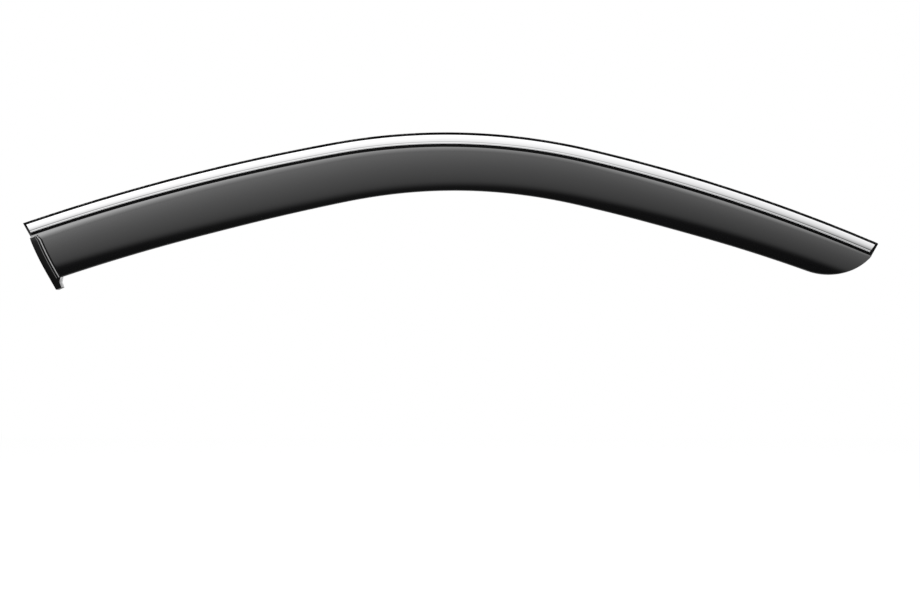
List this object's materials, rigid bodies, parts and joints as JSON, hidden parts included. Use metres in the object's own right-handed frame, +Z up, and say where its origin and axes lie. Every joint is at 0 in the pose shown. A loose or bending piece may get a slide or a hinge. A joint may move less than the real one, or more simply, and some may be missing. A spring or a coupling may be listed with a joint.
{
  "type": "window rain deflector",
  "caption": "Curved smoked rain deflector for a car door window: a flared visor on a flat taped flange, with a bright strip along its top and a black clip at the pillar end.",
  "frame": {"origin": "on the door frame's face, behind the middle of the mounting tape at the crown of the upper edge", "axes": "+X along the door to the windscreen, +Y into the door frame, +Z up"},
  "size_m": [0.9008, 0.0224, 0.1661],
  "materials": {
    "smoked_acrylic": "polished, dark smoked",
    "bright_trim": "polished bright",
    "bonding_tape": "matt adhesive tape",
    "foam_tape": "matt foam with a red release film",
    "black_clip": "satin moulded black"
  },
  "bodies": {
    "root": {"visor_body": "smoked_acrylic", "bright_strip": "bright_trim", "strip_tape": "bonding_tape", "mounting_tape": "foam_tape", "pillar_clip": "black_clip"}
  },
  "joints": []
}
